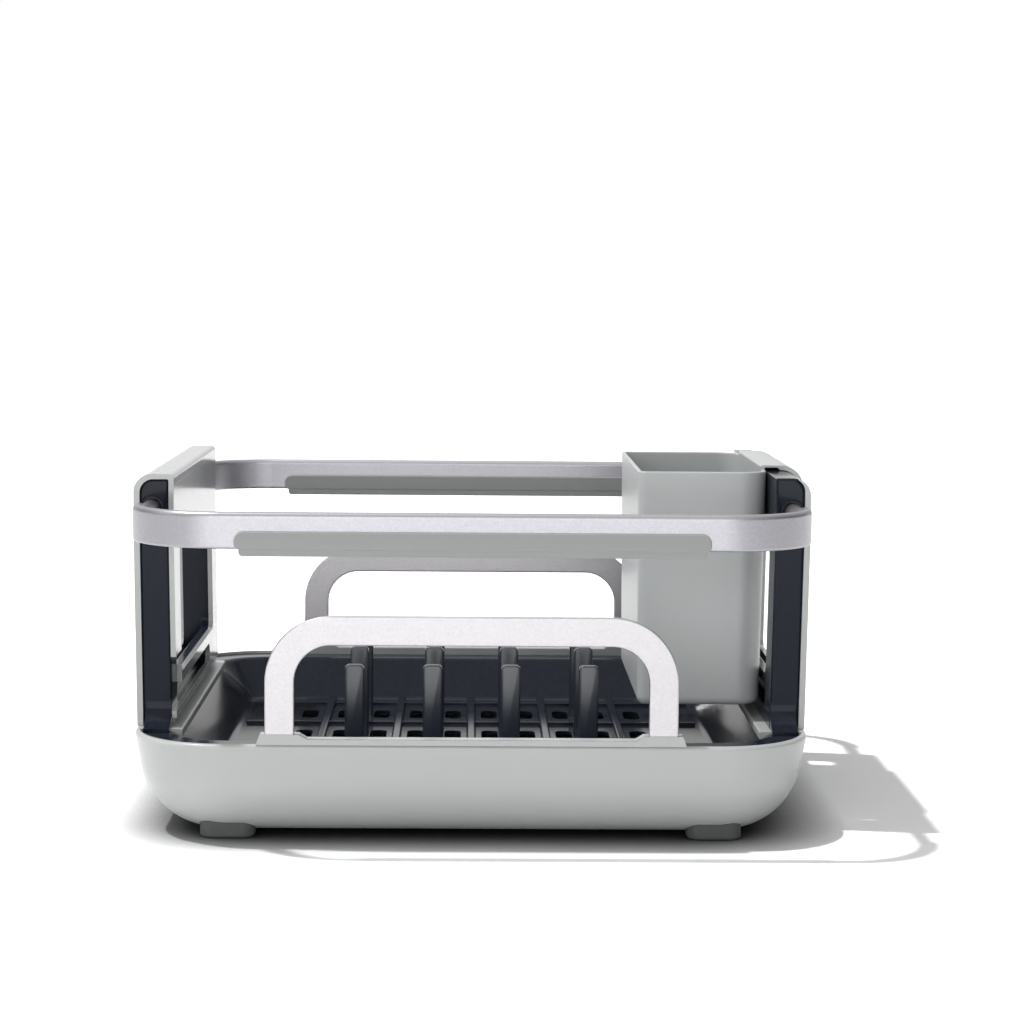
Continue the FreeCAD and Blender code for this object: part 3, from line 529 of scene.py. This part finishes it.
class RackSizes(bpy.types.PropertyGroup):
    """Sizes of the pieces that are modelled here"""
    tines_in_row: IntProperty(
        name="Tines in a Row", description="Number of tines in each row",
        min=2, max=8, default=4)
    tine_width: FloatProperty(
        name="Tine Width", description="Width of a tine from side to side",
        unit="LENGTH", min=4.0 * MM, max=16.0 * MM, default=10.6 * MM)
    tine_crown: FloatProperty(
        name="Tine Crown", description="Round of a tine's upper corners",
        unit="LENGTH", min=1.0 * MM, max=5.2 * MM, default=2.6 * MM)
    tine_edge: FloatProperty(
        name="Tine Edge", description="Round of a tine's long edges",
        unit="LENGTH", min=0.2 * MM, max=2.0 * MM, default=1.1 * MM)
    grip_edge: FloatProperty(
        name="Grip Edge", description="Round of the grip's long edges",
        unit="LENGTH", min=0.2 * MM, max=1.4 * MM, default=1.0 * MM)
    grip_side: FloatProperty(
        name="Grip Wall", description="Thickness of the grip on the rail's faces",
        unit="LENGTH", min=0.5 * MM, max=3.0 * MM, default=1.5 * MM)
    grip_lip: FloatProperty(
        name="Grip Lip", description="Height of the lip below the grip",
        unit="LENGTH", min=1.0 * MM, max=4.0 * MM, default=3.4 * MM)
    grip_lip_inset: FloatProperty(
        name="Lip Inset", description="From the grip's end to the lip's",
        unit="LENGTH", min=1.0 * MM, max=20.0 * MM, default=2.4 * MM)
    grip_lip_setback: FloatProperty(
        name="Lip Setback", description="From the grip's face to the lip's",
        unit="LENGTH", min=0.2 * MM, max=2.0 * MM, default=0.8 * MM)
    grip_end_round: FloatProperty(
        name="Grip End", description="Round of the grip's upper corners",
        unit="LENGTH", min=1.0 * MM, max=8.0 * MM, default=5.0 * MM)
    grip_foot_round: FloatProperty(
        name="Grip Foot", description="Round of the grip's lower corners",
        unit="LENGTH", min=1.0 * MM, max=6.0 * MM, default=3.0 * MM)
    lip_end_round: FloatProperty(
        name="Lip End", description="Round of the lip's lower corners",
        unit="LENGTH", min=0.5 * MM, max=3.0 * MM, default=2.0 * MM)
    round_steps: IntProperty(
        name="Round Steps", description="Faces across each modelled round",
        min=2, max=12, default=5)


class RackStudio(bpy.types.PropertyGroup):
    """Camera and lights"""
    camera_place: FloatVectorProperty(
        name="Camera", description="Place of the camera",
        subtype="TRANSLATION", unit="LENGTH", size=3, default=(-0.00276, -1.44463, 0.29437))
    camera_pitch: FloatProperty(
        name="Pitch", description="How far the camera looks down",
        subtype="ANGLE", default=math.radians(5.404))
    camera_yaw: FloatProperty(
        name="Yaw", description="How far the camera looks to the right",
        subtype="ANGLE", default=math.radians(1.0))
    camera_roll: FloatProperty(
        name="Roll", description="Turn of the picture",
        subtype="ANGLE", default=math.radians(0.481))
    camera_lens: FloatProperty(
        name="Lens", description="Focal length in millimetres",
        min=20.0, max=300.0, default=89.51)
    ambient: FloatProperty(
        name="Ambient", description="Even light from all round",
        min=0.0, max=2.0, default=0.38)
    sun_strength: FloatProperty(
        name="Sun", description="Strength of the key light",
        min=0.0, max=10.0, default=2.25)
    sun_spread: FloatProperty(
        name="Sun Spread", description="Apparent size of the key light",
        subtype="ANGLE", default=math.radians(2.0))
    front_fill: FloatProperty(
        name="Front Fill", description="Power of the soft light at the front",
        min=0.0, max=200.0, default=11.0)
    side_fill: FloatProperty(
        name="Side Fill", description="Power of the soft light at the left",
        min=0.0, max=200.0, default=3.0)


# Pieces

class RACK_OT_base_tub(bpy.types.Operator):
    """Finish the light tub, the leg screws under its ledges and its rubber feet"""
    bl_idname = "rack.base_tub"
    bl_label = "Base Tub and Feet"

    def execute(self, context):
        paint_node("base_tub", "tub_plastic")
        paint_node("leg_screws", "screw_steel")
        for end in ("front", "rear"):
            for side in ("left", "right"):
                paint_node("foot_" + end + "_" + side, "foot_rubber")
        return {"FINISHED"}


class RACK_OT_inner_tray(bpy.types.Operator):
    """Finish the dark ribbed tray"""
    bl_idname = "rack.inner_tray"
    bl_label = "Inner Tray"

    def execute(self, context):
        paint_node("inner_tray", "dark_plastic")
        return {"FINISHED"}


class RACK_OT_plate_tines(bpy.types.Operator):
    """Model one upright plate tine and set a copy in each place of the three rows"""
    bl_idname = "rack.plate_tines"
    bl_label = "Plate Tines"

    def execute(self, context):
        sizes = context.scene.rack_sizes
        low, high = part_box("plate_tines_front")
        pitch = (high.x - low.x - sizes.tine_width) / (sizes.tines_in_row - 1)
        first = self.model_tine(sizes, low, high)
        rows = ("front", "middle", "rear")
        tines = {("front", 0): first}
        for row in rows:
            step_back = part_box("plate_tines_" + row)[0].y - low.y
            for index in range(sizes.tines_in_row):
                if (row, index) not in tines:
                    name = "plate_tine_%s_%d" % (row, index + 1)
                    move = Matrix.Translation((index * pitch, step_back, 0.0))
                    tines[row, index] = copy_piece(first, name, move)
        for (row, index), tine in tines.items():
            stands_for = ["plate_tines_" + row] if index == 0 else ()
            # the tines keep the dark plastic's slot but take its painted-light copy
            finish_piece(tine, "rack", "dark_plastic", stands_for, finish="tine_plastic")
        return {"FINISHED"}

    def model_tine(self, sizes, low, high):
        """First tine of the front row, with its crown and its long edges rounded."""
        tine = start_block("plate_tine_front_1", low, (low.x + sizes.tine_width, high.y, high.z))
        pick(tine, "edges",
             lambda edge: edge_along(edge, 1) and edge_middle(edge).z > high.z - PICK_MARGIN)
        bpy.ops.mesh.bevel(offset=sizes.tine_crown, segments=2 * sizes.round_steps, affect="EDGES")
        pick(tine, "edges",
             lambda edge: not edge_along(edge, 1) and edge_middle(edge).z > low.z + PICK_MARGIN)
        bpy.ops.mesh.bevel(offset=sizes.tine_edge, segments=sizes.round_steps, affect="EDGES")
        select_only(tine)
        return tine


class RACK_OT_side_frames(bpy.types.Operator):
    """Finish the dark loops of the side frames and their light shells"""
    bl_idname = "rack.side_frames"
    bl_label = "Side Frames"

    def execute(self, context):
        for side in ("left", "right"):
            paint_node(side + "_frame_core", "dark_plastic")
            paint_node(side + "_frame_skin", "frame_plastic")
        paint_node("left_inner_cover", "frame_plastic")
        return {"FINISHED"}


class RACK_OT_rails(bpy.types.Operator):
    """Finish the rails, their rods, stops and guide bushes"""
    bl_idname = "rack.rails"
    bl_label = "Rails and Rods"

    def execute(self, context):
        for end in ("front", "rear"):
            paint_node(end + "_rail", "rail_aluminium")
            for side in ("left", "right"):
                paint_node(end + "_rod_" + side, "rail_aluminium")
                paint_node(end + "_rod_stop_" + side, "screw_steel")
                paint_node("guide_bush_" + end + "_" + side, "bearing_plastic")
        return {"FINISHED"}


class RACK_OT_grips(bpy.types.Operator):
    """Model the soft sleeves round the lower half of the rails"""
    bl_idname = "rack.grips"
    bl_label = "Rail Grips"

    def execute(self, context):
        sizes = context.scene.rack_sizes
        low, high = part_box("front_grip")
        sleeve_low = Vector((low.x, low.y, low.z + sizes.grip_lip))
        sleeve = self.rounded_block("front_grip_sleeve", sleeve_low, high, sizes.grip_end_round,
                                    sizes.grip_foot_round, sizes)
        inset = Vector((sizes.grip_lip_inset, sizes.grip_lip_setback, 0.0))
        overlap = LIP_OVERLAP * sizes.grip_edge
        lip_top = Vector((high.x, high.y, sleeve_low.z + overlap)) - inset
        lip = self.rounded_block("grip_lip", low + inset, lip_top, sizes.grip_edge,
                                 sizes.lip_end_round, sizes)
        combine(sleeve, lip, "UNION")
        combine(sleeve, self.rail_groove(sizes, low, high), "DIFFERENCE")
        rear = copy_piece(sleeve, "rear_grip_sleeve", Matrix.Rotation(math.pi, 4, "Z"))
        finish_piece(sleeve, "front_rail", "grip_rubber", ["front_grip"])
        finish_piece(rear, "rear_rail", "grip_rubber", ["rear_grip"])
        return {"FINISHED"}

    def rail_groove(self, sizes, low, high):
        """Solid that cuts the rail's place out of the sleeve."""
        rail_low, rail_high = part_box("front_rail")
        groove = start_block("grip_groove",
                             (low.x - CUT_MARGIN, low.y + sizes.grip_side, rail_low.z),
                             (high.x + CUT_MARGIN, high.y - sizes.grip_side, rail_high.z))
        bpy.ops.object.mode_set(mode="OBJECT")
        return groove

    def rounded_block(self, name, low, high, end_round, foot_round, sizes):
        """Long block with rounded ends and soft edges all round, out of edit mode."""
        block = start_block(name, low, high)
        middle = (low.z + high.z) / 2
        pick(block, "edges", lambda edge: edge_along(edge, 1) and edge_middle(edge).z > middle)
        bpy.ops.mesh.bevel(offset=end_round, segments=2 * sizes.round_steps, affect="EDGES")
        pick(block, "edges",
             lambda edge: edge_along(edge, 1) and edge_middle(edge).z < low.z + PICK_MARGIN)
        bpy.ops.mesh.bevel(offset=foot_round, segments=2 * sizes.round_steps, affect="EDGES")
        pick(block, "edges", lambda edge: not edge_along(edge, 1))
        bpy.ops.mesh.bevel(offset=END_EDGE_SHARE * sizes.grip_edge, segments=sizes.round_steps,
                           affect="EDGES")
        bpy.ops.object.mode_set(mode="OBJECT")
        return block


class RACK_OT_hoops(bpy.types.Operator):
    """Finish the flat hoops and the light bases that carry them"""
    bl_idname = "rack.hoops"
    bl_label = "Hoops"

    def execute(self, context):
        for end in ("front", "rear"):
            paint_node(end + "_hoop", "hoop_aluminium")
            paint_node(end + "_hoop_base", "tub_plastic")
        return {"FINISHED"}


class RACK_OT_utensil_caddy(bpy.types.Operator):
    """Finish the utensil caddy that hangs on the right beam"""
    bl_idname = "rack.utensil_caddy"
    bl_label = "Utensil Caddy"

    def execute(self, context):
        paint_node("utensil_caddy", "caddy_plastic")
        return {"FINISHED"}


class RACK_OT_studio(bpy.types.Operator):
    """Set up the pale floor, the white surroundings, the lights and the camera"""
    bl_idname = "rack.studio"
    bl_label = "Studio"

    def execute(self, context):
        studio = context.scene.rack_studio
        context.scene.view_settings.view_transform = "Standard"
        self.add_floor()
        self.light_world(context.scene, studio)
        self.add_lamps(context, studio)
        self.add_camera(context, studio)
        return {"FINISHED"}

    def seen_directly(self, tree):
        """Mask of the rays that show the background: to the camera, mirrored or through glass."""
        rays = add_node(tree, "ShaderNodeLightPath")
        mirrored = maths(tree, "MAXIMUM", rays.outputs["Is Glossy Ray"],
                         rays.outputs["Is Transmission Ray"])
        return maths(tree, "MAXIMUM", rays.outputs["Is Camera Ray"], mirrored)

    def direction(self, tree):
        """Direction that a ray of the world comes from, in parts."""
        place = add_node(tree, "ShaderNodeTexCoord").outputs["Generated"]
        split = add_node(tree, "ShaderNodeSeparateXYZ")
        tree.links.new(place, split.inputs[0])
        return split.outputs

    def mirrored_light(self, tree):
        """White for the camera; mirrored, white in front, behind and above, greyer at the sides."""
        towards = self.direction(tree)
        sideways = maths(tree, "POWER", maths(tree, "ABSOLUTE", towards["X"]), MIRRORED_SIDE_POWER)
        side_loss = maths(tree, "MULTIPLY", sideways, MIRRORED_SIDE_LOSS)
        strength = maths(tree, "SUBTRACT", MIRRORED_STRENGTH, side_loss)
        rightward = maths(tree, "MAXIMUM", towards["X"], 0.0)
        right_loss = maths(tree, "MULTIPLY", rightward, MIRRORED_RIGHT_LOSS)
        strength = maths(tree, "SUBTRACT", strength, right_loss)
        upward = maths(tree, "MAXIMUM", towards["Z"], 0.0)
        top_gain = maths(tree, "MULTIPLY", upward, MIRRORED_TOP_GAIN)
        strength = maths(tree, "ADD", strength, top_gain)
        rays = add_node(tree, "ShaderNodeLightPath")
        return maths(tree, "MAXIMUM", strength, rays.outputs["Is Camera Ray"])

    def even_light(self, tree, ambient):
        """Strength of the light from all round, a little weaker from the right."""
        rightward = maths(tree, "MAXIMUM", self.direction(tree)["X"], 0.0)
        right_loss = maths(tree, "MULTIPLY", rightward, AMBIENT_RIGHT_LOSS * ambient)
        return maths(tree, "SUBTRACT", ambient, right_loss)

    def add_floor(self):
        """Pale floor that keeps the rack's shadow, with a painted contact shadow where the rack
        comes near it.
        """
        deselect_all()
        bpy.ops.mesh.primitive_plane_add(size=FLOOR_SIZE, location=FLOOR_PLACE)
        floor = bpy.context.active_object
        floor.name = "studio_floor"
        bpy.ops.object.transform_apply(location=True, rotation=True, scale=True)
        material, tree, shader = start_material("Studio floor")
        # painted contact shadow: ambient occlusion darkens the floor's seen colour under and beside
        # the rack
        corner = add_node(tree, "ShaderNodeAmbientOcclusion", samples=12)
        corner.inputs["Distance"].default_value = PAINTED_CONTACT_SHADOW_REACH
        painted_contact_shadow = maths(tree, "POWER", corner.outputs["AO"], PAINTED_CONTACT_SHADOW_POWER)
        floor_with_painted_shadow = blend_colour(tree, painted_contact_shadow, (PAINTED_CONTACT_SHADOW_GREY,) * 3, (FLOOR_SEEN,) * 3)
        pale = blend_colour(tree, self.seen_directly(tree), (FLOOR_GIVEN,) * 3,
                            floor_with_painted_shadow.outputs["Result"])
        tree.links.new(pale.outputs["Result"], shader.inputs["Base Color"])
        shader.inputs["Roughness"].default_value = FLOOR_ROUGHNESS
        shader.inputs["Specular IOR Level"].default_value = 0.0
        floor.data.materials.append(material)

    def light_world(self, scene, studio):
        """White surroundings where they show, and an even light on the rack."""
        world = bpy.data.worlds.new("Studio surroundings")
        scene.world = world
        world.use_nodes = True
        tree = world.node_tree
        tree.nodes.clear()
        even = add_node(tree, "ShaderNodeBackground")
        even.inputs["Color"].default_value = (1.0, 1.0, 1.0, 1.0)
        tree.links.new(self.even_light(tree, studio.ambient), even.inputs["Strength"])
        white = add_node(tree, "ShaderNodeBackground")
        white.inputs["Color"].default_value = (1.0, 1.0, 1.0, 1.0)
        tree.links.new(self.mirrored_light(tree), white.inputs["Strength"])
        mix = add_node(tree, "ShaderNodeMixShader")
        out = add_node(tree, "ShaderNodeOutputWorld")
        tree.links.new(self.seen_directly(tree), mix.inputs["Fac"])
        tree.links.new(even.outputs[0], mix.inputs[1])
        tree.links.new(white.outputs[0], mix.inputs[2])
        tree.links.new(mix.outputs[0], out.inputs["Surface"])

    def add_lamps(self, context, studio):
        """Sun from the upper left, and soft boxes at the front and at the left."""
        sun = bpy.data.lights.new("Key sun", "SUN")
        sun.energy = studio.sun_strength
        sun.angle = studio.sun_spread
        self.aim(context, sun, SUN_PLACE, (0.0, 0.0, 0.0))
        self.add_soft_box(context, "Front soft box", studio.front_fill, FRONT_BOX_SIZE,
                          FRONT_BOX_PLACE)
        self.add_soft_box(context, "Left soft box", studio.side_fill, SIDE_BOX_SIZE,
                          SIDE_BOX_PLACE)

    def add_soft_box(self, context, name, power, size, place):
        """Rectangular lamp that looks at the middle of the rack."""
        box = bpy.data.lights.new(name, "AREA")
        box.shape = "RECTANGLE"
        box.size, box.size_y = size
        box.energy = power
        self.aim(context, box, place, RACK_MIDDLE)

    def aim(self, context, lamp, place, target):
        """Sets a lamp at its place, turned towards the target."""
        place, target = Vector(place), Vector(target)
        holder = bpy.data.objects.new(lamp.name, lamp)
        holder.location = place
        holder.rotation_euler = (target - place).to_track_quat("-Z", "Y").to_euler()
        context.collection.objects.link(holder)

    def add_camera(self, context, studio):
        """Camera at the picture's viewpoint."""
        data = bpy.data.cameras.new("Picture camera")
        data.lens = studio.camera_lens
        data.sensor_width = 36.0
        data.clip_start = 0.01
        data.clip_end = 200.0
        camera = bpy.data.objects.new("Picture camera", data)
        turn = Matrix.Rotation(-studio.camera_yaw, 4, "Z")
        tilt = Matrix.Rotation(math.radians(90.0) - studio.camera_pitch, 4, "X")
        roll = Matrix.Rotation(studio.camera_roll, 4, "Z")
        camera.matrix_world = Matrix.Translation(studio.camera_place) @ turn @ tilt @ roll
        context.collection.objects.link(camera)
        context.scene.camera = camera


class RACK_PT_sidebar(bpy.types.Panel):
    """Dish rack pieces, finishes and studio"""
    bl_label = "Dish Rack"
    bl_idname = "RACK_PT_sidebar"
    bl_space_type = "VIEW_3D"
    bl_region_type = "UI"
    bl_category = "Dish Rack"

    def draw(self, context):
        layout = self.layout
        scene = context.scene
        for settings in (scene.rack_finishes, scene.rack_sizes, scene.rack_studio):
            box = layout.box()
            for name in settings.__annotations__:
                box.prop(settings, name)
        for operator in PIECES + (RACK_OT_studio,):
            layout.operator(operator.bl_idname)


SETTINGS = (RackFinishes, RackSizes, RackStudio)
PIECES = (RACK_OT_base_tub, RACK_OT_inner_tray, RACK_OT_plate_tines, RACK_OT_side_frames,
          RACK_OT_rails, RACK_OT_grips, RACK_OT_hoops, RACK_OT_utensil_caddy)
CLASSES = SETTINGS + PIECES + (RACK_OT_studio, RACK_PT_sidebar)


def register():
    for group in CLASSES:
        bpy.utils.register_class(group)
    bpy.types.Scene.rack_finishes = PointerProperty(type=RackFinishes)
    bpy.types.Scene.rack_sizes = PointerProperty(type=RackSizes)
    bpy.types.Scene.rack_studio = PointerProperty(type=RackStudio)


def unregister():
    del bpy.types.Scene.rack_studio
    del bpy.types.Scene.rack_sizes
    del bpy.types.Scene.rack_finishes
    for group in reversed(CLASSES):
        bpy.utils.unregister_class(group)


def main():
    register()
    bpy.ops.rack.base_tub()
    bpy.ops.rack.inner_tray()
    bpy.ops.rack.plate_tines()
    bpy.ops.rack.side_frames()
    bpy.ops.rack.rails()
    bpy.ops.rack.grips()
    bpy.ops.rack.hoops()
    bpy.ops.rack.utensil_caddy()
    bpy.ops.rack.studio()


if __name__ == "__main__":
    main()
